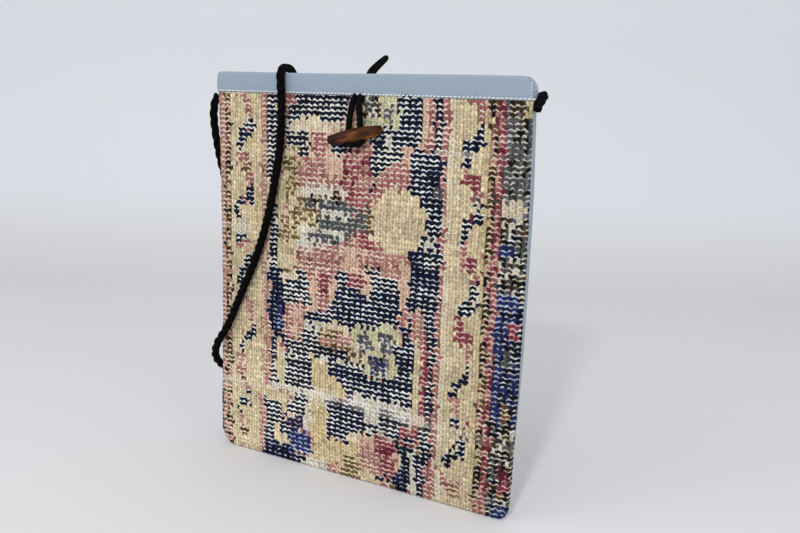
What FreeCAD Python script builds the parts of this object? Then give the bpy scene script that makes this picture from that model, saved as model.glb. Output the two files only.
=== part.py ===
"""A flat shoulder bag: a knotted rug front, a twill back, a bound mouth, a cord strap and a toggle fastening."""

import FreeCAD
import Part
import math
import os

Vector = FreeCAD.Vector

# Frame: +X to the right as seen from the front, the front faces -Y, +Z up.
# The origin is the centre of the face that the bag stands on. Millimetres.

# Driving dimensions of the bag
bag_width = 255.0
bag_height = 300.0
cavity_depth = 7.0

# Fabrics
rug_thickness = 4.5
lining_thickness = 0.8
back_thickness = 1.6
band_fabric = 1.2
band_side = 1.0
band_inner = 0.8
band_height = 15.0
allowance_width = 8.0
allowance_thickness = 1.2
fabric_gap = 0.2

# Outline: corner radii, and how far each side leaves a straight line
corner_bottom_left = 15.0
corner_bottom_right = 9.0
corner_top_left = 2.0
corner_top_right = 7.0
least_corner = 1.0
left_pull = 2.6
right_bulge = 2.8
left_pull_share = 0.44
right_bulge_share = 0.58

# Stitches
band_stitch = (2.1, 0.7, 0.3)
band_stitch_pitch = 3.0
band_stitch_rise = 1.3
band_stitch_margin = 3.0
seam_stitch = (3.6, 0.6, 0.3)
seam_stitch_pitch = 6.0
seam_stitch_margin = 22.0

# Toggle and its lace
toggle_length = 45.5
toggle_middle_radius = 5.5
toggle_end_radius = 3.8
toggle_end_round = 0.7
toggle_tilt = 9.7
toggle_drop = 26.2
toggle_lace_radius = 2.1
toggle_strand_pitch = 10.0
toggle_strand_pitch_top = 6.6
toggle_hole_clearance = 0.2
toggle_bend = 2.3
toggle_end_depth = 1.5
toggle_end_width = 11.2

# Closure loop
loop_lace_radius = 1.6
loop_strand_pitch = 3.6
loop_rise = 13.0
loop_lean_radius = 12.0
loop_lean = 50.0
loop_reach = 10.5
loop_end_depth = 0.8
loop_end_width = 7.2

# Both laces: the sewn end's gap under the band's top fold, how far it shows below the band, and the gap to
# what a lace lies against
lace_end_top_gap = 1.8
lace_end_below = 4.5
lace_gap = 0.3

# Strap
strap_diameter = 6.0
tack_radius = 3.3
tack_length = 16.0
run_share = 0.45

# Sizes that follow from the ones above
body_half_width = bag_width / 2 - band_side
body_top = bag_height - band_fabric
body_depth = rug_thickness + 2 * lining_thickness + cavity_depth + back_thickness
front_y = -body_depth / 2
back_y = body_depth / 2
rug_back_y = front_y + rug_thickness
front_lining_back_y = rug_back_y + lining_thickness
back_lining_front_y = back_y - back_thickness - lining_thickness
band_back_y = back_y + band_fabric
band_bottom = bag_height - band_height
allowance_back_y = rug_back_y + allowance_thickness
lace_end_length = band_height - band_fabric - lace_end_top_gap
strap_radius = strap_diameter / 2

# The strap's route, from the left side seam to the right side seam.
strap_route = [
    (-130.9, -1.9, 282.4),
    (-137.0, -1.7, 275.8),
    (-138.4, -0.6, 261.0),
    (-137.6, 2.8, 241.0),
    (-137.2, 9.5, 221.0),
    (-131.6, 17.0, 200.0),
    (-116.0, 17.2, 168.0),
    (-103.5, 14.6, 132.0),
    (-98.0, 15.0, 95.0),
    (-102.0, 15.6, 63.0),
    (-115.0, 17.4, 44.0),
    (-132.5, 17.0, 41.0),
    (-141.0, 5.5, 50.0),
    (-139.5, -8.5, 63.5),
    (-129.8, -16.5, 79.5),
    (-117.0, -12.2, 100.0),
    (-105.2, -11.3, 128.0),
    (-90.5, -11.7, 157.0),
    (-78.3, -11.3, 188.0),
    (-69.8, -11.7, 220.5),
    (-63.2, -11.5, 250.0),
    (-62.6, -13.6, 274.0),
    (-63.4, -20.0, 299.0),
    (-64.5, -10.8, 311.8),
    (-69.0, 12.0, 312.0),
    (-71.6, 20.5, 298.5),
    (-73.5, 16.0, 272.0),
    (-75.0, 14.2, 232.0),
    (-69.5, 14.8, 184.0),
    (-54.0, 14.2, 133.0),
    (-27.0, 15.0, 88.0),
    (10.5, 14.4, 60.0),
    (50.0, 14.8, 63.0),
    (80.0, 14.2, 98.0),
    (97.0, 15.0, 147.0),
    (106.0, 14.4, 197.0),
    (109.5, 15.0, 238.0),
    (113.0, 16.4, 267.0),
    (119.8, 19.5, 285.5),
    (131.0, 20.3, 294.0),
    (138.0, 11.2, 292.5),
    (134.6, 2.8, 286.0),
    (130.2, -1.0, 279.8),
]


def line(a, b):
    return Part.LineSegment(Vector(*a), Vector(*b)).toShape()


def arc(a, b, c):
    return Part.Arc(Vector(*a), Vector(*b), Vector(*c)).toShape()


def box(low, high):
    size = [h - l for l, h in zip(low, high)]
    return Part.makeBox(*size, Vector(*low))


def corner_arc(centre, radius, start, end):
    """A quarter round in the XZ plane, between two angles in degrees."""
    points = []
    for degrees in (start, (start + end) / 2, end):
        turn = math.radians(degrees)
        x = centre[0] + radius * math.cos(turn)
        z = centre[1] + radius * math.sin(turn)
        points.append((x, 0, z))
    return arc(*points)


def outline(half, top, inset=0.0, grow=0.0):
    """The bag's outline in the XZ plane as a wire, drawn in by inset. grow is added to the top corners."""
    left = -half + inset
    right = half - inset
    base = inset
    bl = max(corner_bottom_left - inset, least_corner)
    br = max(corner_bottom_right - inset, least_corner)
    tl = max(corner_top_left + grow - inset, least_corner)
    tr = max(corner_top_right + grow - inset, least_corner)
    left_mid = (left + left_pull, 0, top * left_pull_share)
    right_mid = (right + right_bulge, 0, top * right_bulge_share)
    edges = [
        line((left + bl, 0, base), (right - br, 0, base)),
        corner_arc((right - br, base + br), br, -90, 0),
        arc((right, 0, base + br), right_mid, (right, 0, top - tr)),
        corner_arc((right - tr, top - tr), tr, 0, 90),
        line((right - tr, 0, top), (left + tl, 0, top)),
        corner_arc((left + tl, top - tl), tl, 90, 180),
        arc((left, 0, top - tl), left_mid, (left, 0, base + bl)),
        corner_arc((left + bl, base + bl), bl, 180, 270),
    ]
    return Part.Wire(edges)


def slab(wire, low_y, high_y):
    """The area inside an XZ wire, as a sheet from low_y to high_y."""
    face = Part.Face(wire)
    face.translate(Vector(0, low_y, 0))
    return face.extrude(Vector(0, high_y - low_y, 0))


def body_slab(low_y, high_y, inset=0.0, top=body_top):
    return slab(outline(body_half_width, top, inset), low_y, high_y)


def above(z, low_y, high_y, half=None):
    """Everything higher than z, between two depths."""
    half = half or bag_width
    return box((-half, low_y, z), (half, high_y, 2 * bag_height))


def front_panel():
    panel = body_slab(front_y, rug_back_y)
    panel = panel.cut(above(band_bottom, front_y, front_y + band_fabric))
    return panel.cut(toggle_lace_end())


def back_panel():
    """Back, side walls and base in one fabric, with a seam allowance turned in behind the rug."""
    inside_low = allowance_back_y
    inside_high = back_y - back_thickness
    under_band = box((-bag_width, inside_low, 0), (bag_width, inside_high, band_bottom))
    hollow = body_slab(inside_low, inside_high, back_thickness).common(under_band)
    shoulders = above(band_bottom - fabric_gap, rug_back_y, inside_high, body_half_width - back_thickness)
    window = body_slab(rug_back_y, inside_low, back_thickness + allowance_width)
    tray = body_slab(rug_back_y, back_y).cut(hollow)
    tray = tray.cut(window).cut(shoulders)
    return tray.cut(closure_loop_end())


def front_lining():
    inset = back_thickness + allowance_width + fabric_gap
    return body_slab(rug_back_y, front_lining_back_y, inset)


def back_lining():
    inset = back_thickness + fabric_gap
    return body_slab(back_lining_front_y, back_lining_front_y + lining_thickness, inset)


def mouth_band():
    """The folded strip over the mouth's raw edges, as one ring, before it is parted at the side seams."""
    outer = slab(outline(bag_width / 2, bag_height, 0.0, band_fabric), front_y, band_back_y)
    outer = outer.common(above(band_bottom, front_y, band_back_y))
    covered = body_slab(front_y + band_fabric, back_y)
    liner_half = body_half_width - back_thickness
    liner = above(band_bottom, front_lining_back_y, back_lining_front_y, liner_half)
    gap = above(
        band_bottom,
        front_lining_back_y + band_inner,
        back_lining_front_y - band_inner,
        liner_half - band_inner,
    )
    return outer.cut(covered.cut(liner)).cut(gap)


def band_half(front):
    seam_y = (front_y + band_back_y) / 2
    low = front_y if front else seam_y
    high = seam_y if front else band_back_y
    return mouth_band().common(above(0, low, high))


def stitch_row(start, end, pitch):
    """Evenly spaced places from start to end, about pitch apart."""
    count = max(int((end - start) / pitch), 1)
    step = (end - start) / count
    return [start + step * i for i in range(count + 1)]


def band_stitches(face_y, outward):
    """The row of topstitches just above the band's lower fold."""
    length, height, proud = band_stitch
    reach = bag_width / 2 - band_stitch_margin
    z = band_bottom + band_stitch_rise
    low_y = face_y if outward > 0 else face_y - proud
    stitches = []
    for x in stitch_row(-reach, reach, band_stitch_pitch):
        low = (x - length / 2, low_y, z - height / 2)
        high = (x + length / 2, low_y + proud, z + height / 2)
        stitches.append(box(low, high))
    return Part.makeCompound(stitches)


def seam_stitches(side):
    """The hidden seam through the turned-in allowance on one side, 'left', 'right' or 'bottom'."""
    length, width, proud = seam_stitch
    in_by = back_thickness + allowance_width / 2
    stitches = []
    if side == "bottom":
        reach = body_half_width - seam_stitch_margin
        for x in stitch_row(-reach, reach, seam_stitch_pitch):
            low = (x - length / 2, allowance_back_y, in_by - width / 2)
            high = (x + length / 2, allowance_back_y + proud, in_by + width / 2)
            stitches.append(box(low, high))
        return Part.makeCompound(stitches)
    sign = -1 if side == "left" else 1
    mid_x = sign * (body_half_width - in_by)
    bow = left_pull if side == "left" else right_bulge
    share = left_pull_share if side == "left" else right_bulge_share
    for z in stitch_row(seam_stitch_margin, band_bottom - seam_stitch_pitch, seam_stitch_pitch):
        reach = share if z < body_top * share else 1 - share
        away = (z / body_top - share) / reach
        x = mid_x + bow * (1 - away * away)
        low = (x - width / 2, allowance_back_y, z - length / 2)
        high = (x + width / 2, allowance_back_y + proud, z + length / 2)
        stitches.append(box(low, high))
    return Part.makeCompound(stitches)


def sweep(path, radius):
    """A round rod along a wire of lines and arcs."""
    first = path.OrderedEdges[0]
    start = first.valueAt(first.FirstParameter)
    heading = first.tangentAt(first.FirstParameter)
    if first.Orientation == "Reversed":
        start = first.valueAt(first.LastParameter)
        heading = first.tangentAt(first.LastParameter) * -1
    section = Part.Wire(Part.makeCircle(radius, start, heading))
    return path.makePipeShell([section], True, False)


def rounded_path(points, most=math.inf, radii=None):
    """Straight runs joined by tangent arcs, as large as the runs allow, or as starting most from the corner."""
    points = [Vector(*p) for p in points]
    edges = []
    reached = points[0]
    for before, here, after in zip(points, points[1:], points[2:]):
        way_in = (here - before).normalize()
        way_out = (after - here).normalize()
        half_turn = way_in.getAngle(way_out) / 2
        tangent = min(run_share * min((here - before).Length, (after - here).Length), most)
        radius = tangent / math.tan(half_turn)
        start = here - way_in * tangent
        end = here + way_out * tangent
        inward = (way_out - way_in).normalize()
        middle = here + inward * (radius / math.cos(half_turn) - radius)
        edges.append(line(reached, start))
        edges.append(arc(start, middle, end))
        reached = end
        if radii is not None:
            radii.append((round(radius, 1), round(math.degrees(2 * half_turn))))
    edges.append(line(reached, points[-1]))
    return Part.Wire(edges)


def strap_cord():
    radii = []
    path = rounded_path(strap_route, radii=radii)
    tube = sweep(path, strap_radius)
    wanted = math.pi * strap_radius**2 * path.Length
    print("strap bends, (radius in mm, turn in degrees):", radii)
    print("strap length %.1f mm, volume %.1f, section times length %.1f" % (path.Length, tube.Volume, wanted))
    return tube


def strap_tack(side):
    """The strap's end, whipped with thread and sewn into a side seam. Its face is square to the strap."""
    start, towards = (0, 1) if side == "left" else (-1, -2)
    start = Vector(*strap_route[start])
    heading = (Vector(*strap_route[towards]) - start).normalize()
    sleeve = Part.makeCylinder(tack_radius, tack_length, start, heading * -1)
    low_x = -bag_width if side == "left" else body_half_width - back_thickness
    high_x = -body_half_width + left_pull if side == "left" else bag_width
    beside = box((low_x, front_y, 0), (high_x, back_y, band_bottom))
    return sleeve.common(beside).cut(body_slab(front_y, back_y))


def toggle_centre():
    return Vector(0, front_y - lace_gap - toggle_middle_radius, band_bottom - toggle_drop)


def toggle_axes():
    """Unit vectors along the tilted barrel and square to it, up."""
    tilt = math.radians(toggle_tilt)
    along = Vector(math.cos(tilt), 0, math.sin(tilt))
    up = Vector(-math.sin(tilt), 0, math.cos(tilt))
    return along, up


def toggle_hinge():
    """The line, along X, that the toggle and its lace swing about, just below the band."""
    y = front_y - lace_gap - toggle_lace_radius
    z = band_bottom - lace_gap - toggle_lace_radius
    return y, z


def toggle():
    half = toggle_length / 2
    tip = toggle_end_round
    end = toggle_end_radius
    side = arc((-half + tip, 0, end), (0, 0, toggle_middle_radius), (half - tip, 0, end))
    edges = [
        line((-half, 0, 0), (-half, 0, end - tip)),
        line((-half, 0, end - tip), (-half + tip, 0, end)),
        side,
        line((half - tip, 0, end), (half, 0, end - tip)),
        line((half, 0, end - tip), (half, 0, 0)),
        line((half, 0, 0), (-half, 0, 0)),
    ]
    barrel = Part.Face(Part.Wire(edges)).revolve(Vector(0, 0, 0), Vector(1, 0, 0), 360)
    hole_radius = toggle_lace_radius + toggle_hole_clearance
    for sign in (-1, 1):
        x = sign * toggle_strand_pitch / 2
        hole = Part.makeCylinder(hole_radius, 4 * toggle_middle_radius, Vector(x, 0, -2 * toggle_middle_radius))
        barrel = barrel.cut(hole)
    barrel.rotate(Vector(0, 0, 0), Vector(0, 1, 0), -toggle_tilt)
    barrel.translate(toggle_centre())
    return barrel


def toggle_lace():
    """One lace: down through one cross hole, along under the barrel and up through the other."""
    along, up = toggle_axes()
    centre = toggle_centre()
    hinge_y, hinge_z = toggle_hinge()
    above_barrel = toggle_middle_radius + toggle_lace_radius
    under_barrel = toggle_middle_radius + toggle_lace_radius + lace_gap
    points = []
    for sign in (-1, 1):
        foot = centre + along * (sign * toggle_strand_pitch / 2)
        strand = [
            Vector(sign * toggle_strand_pitch_top / 2, hinge_y, hinge_z),
            foot + up * above_barrel,
            foot - up * under_barrel,
        ]
        points += strand if sign < 0 else strand[::-1]
    lace = sweep(rounded_path(points, toggle_bend), toggle_lace_radius)
    for sign in (-1, 1):
        top = Vector(sign * toggle_strand_pitch_top / 2, hinge_y, hinge_z)
        lace = lace.fuse(Part.makeSphere(toggle_lace_radius, top))
    return lace


def lace_end(width, under_low, under_high, below_low, below_high):
    """A lace's flat sewn end: a tab between two depths under the band, and a stub between two depths below it."""
    tab = box((-width / 2, under_low, band_bottom), (width / 2, under_high, band_bottom + lace_end_length))
    stub = box((-width / 2, below_low, band_bottom - lace_end_below), (width / 2, below_high, band_bottom))
    return tab.fuse(stub).removeSplitter()


def toggle_lace_end():
    low_y = front_y + band_fabric
    high_y = low_y + toggle_end_depth
    return lace_end(toggle_end_width, low_y, high_y, front_y, high_y)


def loop_hinge():
    """The line, along X, that the closure loop folds about, just below the band at the back."""
    y = band_back_y + lace_gap + loop_lace_radius
    z = band_bottom - lace_gap - loop_lace_radius
    return y, z


def closure_loop():
    """Two strands up behind the band, leaning back, joined by a close turn at the tip."""
    y, z = loop_hinge()
    lean = math.radians(loop_lean)
    turn = loop_lean_radius
    bend = Vector(0, y + turn, z + loop_rise)
    half_way = Vector(0, bend.y - turn * math.cos(lean / 2), bend.z + turn * math.sin(lean / 2))
    leaning = Vector(0, bend.y - turn * math.cos(lean), bend.z + turn * math.sin(lean))
    heading = Vector(0, math.sin(lean), math.cos(lean))
    tip = leaning + heading * loop_reach
    half = loop_strand_pitch / 2

    def strand(sign):
        shift = Vector(sign * half, 0, 0)
        rise = line(Vector(0, y, z) + shift, Vector(0, y, z + loop_rise) + shift)
        bent = arc(Vector(0, y, z + loop_rise) + shift, half_way + shift, leaning + shift)
        straight = line(leaning + shift, tip + shift)
        return [rise, bent, straight]

    left = tip - Vector(half, 0, 0)
    right = tip + Vector(half, 0, 0)
    close = arc(left, tip + heading * half, right)
    path = Part.Wire(Part.__sortEdges__([*strand(-1), close, *strand(1)]))
    loop = sweep(path, loop_lace_radius)
    for sign in (-1, 1):
        loop = loop.fuse(Part.makeSphere(loop_lace_radius, Vector(sign * half, y, z)))
    return loop


def closure_loop_end():
    low_y = back_y - loop_end_depth
    return lace_end(loop_end_width, low_y, back_y, low_y, band_back_y)


nodes = {
    "front_panel": front_panel,
    "back_panel": back_panel,
    "front_lining": front_lining,
    "back_lining": back_lining,
    "front_band": lambda: band_half(True),
    "back_band": lambda: band_half(False),
    "front_band_stitching": lambda: band_stitches(front_y, -1),
    "back_band_stitching": lambda: band_stitches(band_back_y, 1),
    "left_seam_stitching": lambda: seam_stitches("left"),
    "right_seam_stitching": lambda: seam_stitches("right"),
    "bottom_seam_stitching": lambda: seam_stitches("bottom"),
    "toggle": toggle,
    "toggle_lace": toggle_lace,
    "toggle_lace_end": toggle_lace_end,
    "closure_loop": closure_loop,
    "closure_loop_end": closure_loop_end,
    "strap_cord": strap_cord,
    "left_strap_tack": lambda: strap_tack("left"),
    "right_strap_tack": lambda: strap_tack("right"),
}

os.makedirs("parts", exist_ok=True)
for name, make in nodes.items():
    shape = make()
    shape.exportStep("parts/%s.step" % name)
    print("%s: %d solids, %.0f mm3, valid %s" % (name, len(shape.Solids), shape.Volume, shape.isValid()))
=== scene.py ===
# A flat shoulder bag: rug front, twill back and mouth band, twisted cord strap,
# wooden toggle on a lace, and a closure loop behind the mouth.
import math

import bpy
import numpy as np
from mathutils import Matrix, Vector


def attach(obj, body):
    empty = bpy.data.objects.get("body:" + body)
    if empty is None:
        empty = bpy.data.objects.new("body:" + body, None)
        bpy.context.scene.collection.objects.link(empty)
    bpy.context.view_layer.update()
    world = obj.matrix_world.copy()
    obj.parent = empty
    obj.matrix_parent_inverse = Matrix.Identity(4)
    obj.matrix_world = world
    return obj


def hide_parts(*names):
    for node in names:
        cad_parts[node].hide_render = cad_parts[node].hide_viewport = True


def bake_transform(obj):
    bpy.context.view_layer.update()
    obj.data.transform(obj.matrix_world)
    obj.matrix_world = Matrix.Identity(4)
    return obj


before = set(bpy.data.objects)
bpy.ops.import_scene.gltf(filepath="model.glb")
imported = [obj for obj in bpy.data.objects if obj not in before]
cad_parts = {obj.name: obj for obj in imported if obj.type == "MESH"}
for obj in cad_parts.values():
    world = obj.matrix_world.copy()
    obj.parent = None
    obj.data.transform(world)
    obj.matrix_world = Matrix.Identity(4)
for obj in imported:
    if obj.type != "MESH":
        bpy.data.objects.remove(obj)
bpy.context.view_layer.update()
mm = 0.001


# small helpers
def linear(rgb):
    # screen colour, 0 to 255, to a linear shader colour
    values = [c / 255 for c in rgb]
    return [c / 12.92 if c <= 0.04045 else ((c + 0.055) / 1.055) ** 2.4 for c in values]


def smooth(low, high, value):
    t = np.clip((value - low) / (high - low), 0, 1)
    return t * t * (3 - 2 * t)


def addObject(name, data):
    obj = bpy.data.objects.new(name, data)
    bpy.context.scene.collection.objects.link(obj)
    return obj


def addMesh(name, points, faces, material):
    mesh = bpy.data.meshes.new(name)
    mesh.from_pydata([tuple(p) for p in points], [], [tuple(f) for f in faces])
    mesh.materials.append(material)
    mesh.polygons.foreach_set("use_smooth", [True] * len(mesh.polygons))
    mesh.update()
    return addObject(name, mesh)


def gridFaces(rows, columns, closeRows=False, closeColumns=False):
    # quads over a grid of points numbered row by row
    r = np.arange(rows if closeRows else rows - 1)
    c = np.arange(columns if closeColumns else columns - 1)
    rr, cc = np.meshgrid(r, c, indexing="ij")
    nextR, nextC = (rr + 1) % rows, (cc + 1) % columns
    quads = [rr * columns + cc, rr * columns + nextC, nextR * columns + nextC, nextR * columns + cc]
    return np.stack(quads, axis=-1).reshape(-1, 4)


def pointVectors(piece, name, values):
    layer = piece.data.attributes.new(name, "FLOAT_VECTOR", "POINT")
    layer.data.foreach_set("vector", np.asarray(values, float).ravel())


def rodPly(run, around, plies=1):
    # how far round its twist each point of a rod lies, with its two end points last
    return np.concatenate([np.add.outer(run, np.arange(around) / around * plies).reshape(-1), [0, 0]])


def windPly(piece, ply):
    # hands the twist to the thread and cord shaders
    pointVectors(piece, "yarn", np.stack([ply, ply, ply], axis=1))


# shader arithmetic
class Socket:
    # one value in a shader, so that sums on it add Math nodes
    def __init__(self, shader, socket):
        self.shader = shader
        self.socket = socket

    def math(self, operation, *others):
        inputs = {i: v for i, v in enumerate((self, *others))}
        return self.shader.node("ShaderNodeMath", {"operation": operation}, inputs)

    def __add__(self, other):
        return self.math("ADD", other)

    def __sub__(self, other):
        return self.math("SUBTRACT", other)

    def __rsub__(self, other):
        return self.shader.node("ShaderNodeMath", {"operation": "SUBTRACT"}, {0: other, 1: self})

    def __mul__(self, other):
        return self.math("MULTIPLY", other)

    def wave(self):
        # a cosine of whole turns, from -1 to 1
        return (self * (2 * math.pi)).math("COSINE")

    def step(self, low, high):
        # 0 below low, 1 above high, smooth between
        settings = {"interpolation_type": "SMOOTHSTEP"}
        return self.shader.node("ShaderNodeMapRange", settings, {0: self, 1: low, 2: high, 3: 0.0, 4: 1.0})


class Shader:
    # a material built from expressions
    def __init__(self, name):
        self.material = bpy.data.materials.new(name)
        self.material.use_nodes = True
        self.tree = self.material.node_tree
        self.surface = self.tree.nodes["Principled BSDF"]

    def link(self, socket, value):
        # a value is another node's output, a number, or a colour or direction of three numbers
        if isinstance(value, Socket):
            self.tree.links.new(value.socket, socket)
        elif hasattr(socket.default_value, "__len__") and hasattr(value, "__len__") and len(value) == 3:
            socket.default_value = (*value, 1.0)[:len(socket.default_value)]
        else:
            socket.default_value = value

    def node(self, kind, settings=None, inputs=None, output=0):
        made = self.tree.nodes.new(kind)
        for key, value in (settings or {}).items():
            if key == "stops":
                ramp = made.color_ramp.elements
                while len(ramp) < len(value):
                    ramp.new(0.5)
                for element, (place, colour) in zip(ramp, value):
                    element.position = place
                    element.color = (*colour, 1.0)
            else:
                setattr(made, key, value)
        for key, value in (inputs or {}).items():
            self.link(made.inputs[key], value)
        return Socket(self, made.outputs[output])

    def place(self):
        return self.node("ShaderNodeTexCoord", output="Object")

    def attribute(self, name, output="Vector"):
        return self.node("ShaderNodeAttribute", {"attribute_name": name}, output=output)

    def part(self, vector, axis):
        return self.node("ShaderNodeSeparateXYZ", {}, {0: vector}, axis)

    def noise(self, vector, scale, detail=3.0, roughness=0.6):
        inputs = {"Vector": vector, "Scale": scale, "Detail": detail, "Roughness": roughness}
        return self.node("ShaderNodeTexNoise", {}, inputs)

    def stretch(self, vector, by):
        return self.node("ShaderNodeVectorMath", {"operation": "MULTIPLY"}, {0: vector, 1: by})

    def mix(self, factor, a, b, blend="MIX"):
        # a Mix node's colours are its inputs 6 and 7 and its output 2
        settings = {"data_type": "RGBA", "blend_type": blend}
        return self.node("ShaderNodeMix", settings, {0: factor, 6: a, 7: b}, 2)

    def bump(self, height, distance, strength):
        return self.node("ShaderNodeBump", {}, {"Height": height, "Distance": distance, "Strength": strength})

    def finish(self, **inputs):
        # sets the surface's inputs, named with _ for each space
        for key, value in inputs.items():
            self.link(self.surface.inputs[key.replace("_", " ")], value)
        return self.material


# camera
view = {
    "place": (0.3156, -0.5109, 0.2822),
    "azimuth": 28.87,
    "elevation": 11.14,
    "roll": 1.88,
    "lens": 37.78,
}


def makeCamera():
    az, el, roll = (math.radians(view[k]) for k in ("azimuth", "elevation", "roll"))
    back = Vector((math.sin(az) * math.cos(el), -math.cos(az) * math.cos(el), math.sin(el)))
    right = (-back).cross(Vector((0, 0, 1))).normalized()
    up = right.cross(-back)
    tiltedRight = math.cos(roll) * right + math.sin(roll) * up
    tiltedUp = math.cos(roll) * up - math.sin(roll) * right
    data = bpy.data.cameras.new("camera")
    data.lens = view["lens"]
    data.sensor_width = 36
    data.clip_start = 0.01
    camera = addObject("camera", data)
    turn = Matrix((tiltedRight, tiltedUp, back)).transposed().to_4x4()
    camera.matrix_world = Matrix.Translation(view["place"]) @ turn
    bpy.context.scene.camera = camera


makeCamera()
print("camera placed")


# strap
strap = {
    "diameter": 6.0 * mm, "length": 1.19, "colour": (4, 3, 4),
    "strands": 3, "strandRadius": 1.75 * mm, "strandOffset": 1.5 * mm, "around": 10,
    # one turn of the strands takes this much of the run, and less between two places along it
    "lay": 24 * mm, "tightLay": 18 * mm, "tightens": (0.30, 0.34), "loosens": (0.50, 0.56),
    "step": 1.1 * mm, "plyPitch": 1.3 * mm, "taper": 5 * mm,
}

strapRoute = [
    (-130.9, -1.9, 282.4), (-135.0, -1.7, 275.8), (-136.0, -0.6, 261), (-135.0, 2.8, 241), (-135.4, 9.5, 221),
    (-131.0, 16.5, 200), (-115, 17.2, 168), (-98.5, 14.6, 132), (-91, 15, 95), (-96, 15.6, 66),
    (-112, 17.0, 53), (-125.5, 15.6, 53.5), (-131.6, 5, 60.5), (-131.0, -7.8, 72), (-124.6, -14.2, 86),
    (-113.2, -12.2, 103), (-101.8, -11.3, 129), (-87.2, -11.7, 157), (-75.8, -11.3, 188),
    (-67.8, -11.7, 220.5), (-62.6, -11.5, 250), (-61.6, -12.2, 274), (-62.2, -12.4, 290),
    (-63.2, -11.8, 301.2), (-66.0, -2, 303.9), (-69.4, 11.8, 302.2), (-72.0, 16.6, 292),
    (-74.0, 16, 272), (-75, 14.2, 232), (-69.5, 14.8, 184),
    (-56, 14.2, 125), (-29, 15, 70), (9, 14.4, 36), (52, 14.8, 40), (86, 14.2, 84), (101, 15, 142),
    (106, 14.4, 197), (109.5, 15, 238), (110.5, 16.4, 264), (114, 17.4, 278), (121.5, 16.0, 286),
    (129.0, 10.6, 288.6), (130.6, 4.6, 287.8), (130.7, -0.8, 284.4), (130.2, -4.4, 279.6),
]


def smoothLine(route, spacing):
    # points evenly spaced along the smooth line that a route in millimetres controls
    curve = bpy.data.curves.new("line", "CURVE")
    curve.dimensions = "3D"
    spline = curve.splines.new("NURBS")
    spline.points.add(len(route) - 1)
    for point, place in zip(spline.points, route):
        point.co = (place[0] * mm, place[1] * mm, place[2] * mm, 1)
    spline.order_u = 3
    spline.use_endpoint_u = True
    curve.resolution_u = 24
    holder = addObject("line", curve)
    drawn = bpy.data.meshes.new_from_object(holder)
    line = np.array([v.co[:] for v in drawn.vertices])
    bpy.data.objects.remove(holder)
    bpy.data.curves.remove(curve)
    bpy.data.meshes.remove(drawn)
    run = np.concatenate([[0], np.cumsum(np.linalg.norm(np.diff(line, axis=0), axis=1))])
    count = max(int(run[-1] / spacing), 2)
    wanted = np.linspace(0, run[-1], count + 1)
    return np.stack([np.interp(wanted, run, line[:, i]) for i in range(3)], axis=1), wanted


def alongFrames(line):
    # a heading and two directions across it at each point, with no needless twist
    heading = np.gradient(line, axis=0)
    heading /= np.linalg.norm(heading, axis=1)[:, None]
    across = np.array([0.0, 1.0, 0.0])
    sides = []
    for h in heading:
        across = across - h * across.dot(h)
        across /= np.linalg.norm(across)
        sides.append(across)
    sides = np.array(sides)
    return heading, sides, np.cross(heading, sides)


def rod(line, radii, around):
    # rings of points about a line, with the two ends closed on a point
    _, side, other = alongFrames(line)
    turn = np.linspace(0, 2 * math.pi, around, endpoint=False)
    radii = np.broadcast_to(np.asarray(radii, float), (len(line),))[:, None, None]
    ring = np.cos(turn)[:, None] * side[:, None] + np.sin(turn)[:, None] * other[:, None]
    points = (line[:, None] + radii * ring).reshape(-1, 3)
    faces = [tuple(f) for f in gridFaces(len(line), around, closeColumns=True)]
    ends = np.array([line[0], line[-1]])
    first, last = len(points), len(points) + 1
    base = (len(line) - 1) * around
    faces += [(first, (i + 1) % around, i) for i in range(around)]
    faces += [(last, base + i, base + (i + 1) % around) for i in range(around)]
    return np.concatenate([points, ends]), faces


def joinRods(parts):
    points, faces, start = [], [], 0
    for p, f in parts:
        points.append(p)
        faces += [tuple(i + start for i in face) for face in f]
        start += len(p)
    return np.concatenate(points), faces


def cordMaterial(name, colour, scale):
    shader = Shader(name)
    place = shader.place()
    ply = shader.part(shader.attribute("yarn"), 0).wave()
    fuzz = shader.noise(place, 2600, 2)
    cloud = shader.noise(place, 90, 2)
    base = linear(colour)
    worn = [c * 2.0 + 0.0015 for c in base]
    shade = shader.mix((fuzz * 0.6 + cloud * 0.3).step(0.42, 0.72), base, worn)
    normal = shader.bump(ply * 0.5 + fuzz * 0.5, scale, 0.7)
    return shader.finish(Base_Color=shade, Roughness=0.82, Normal=normal, Specular_IOR_Level=0.07)


def makeStrap(material):
    line, run = smoothLine(strapRoute, strap["step"])
    _, side, other = alongFrames(line)
    tight = smooth(*strap["tightens"], run) * (1 - smooth(*strap["loosens"], run))
    lay = strap["lay"] + (strap["tightLay"] - strap["lay"]) * tight
    lay = lay * (1 + 0.05 * np.sin(run * 31) + 0.04 * np.sin(run * 83 + 2))
    turned = np.concatenate([[0], np.cumsum(np.diff(run) / lay[1:])]) * 2 * math.pi
    fade = smooth(0, strap["taper"], run) * smooth(0, strap["taper"], run[-1] - run)
    parts, plies = [], []
    for strand in range(strap["strands"]):
        angle = turned + strand * 2 * math.pi / strap["strands"]
        offset = strap["strandOffset"] * (0.75 + 0.25 * fade)
        centre = line + offset[:, None] * (np.cos(angle)[:, None] * side + np.sin(angle)[:, None] * other)
        thick = strap["strandRadius"] * (1 + 0.03 * np.sin(run * 140 + strand * 2))
        parts.append(rod(centre, thick, strap["around"]))
        plies.append(rodPly(run / strap["plyPitch"], strap["around"], 3))
    piece = addMesh("strapCord", *joinRods(parts), material)
    windPly(piece, np.concatenate(plies))
    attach(piece, "bag")
    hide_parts("strap_cord")
    thinned = line[::3]
    if (len(line) - 1) % 3:
        thinned = np.vstack([thinned, line[-1]])
    print("strap", round(float(run[-1]), 4), "m")


blackCord = cordMaterial("blackCord", strap["colour"], 0.25 * mm)
makeStrap(blackCord)

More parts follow.
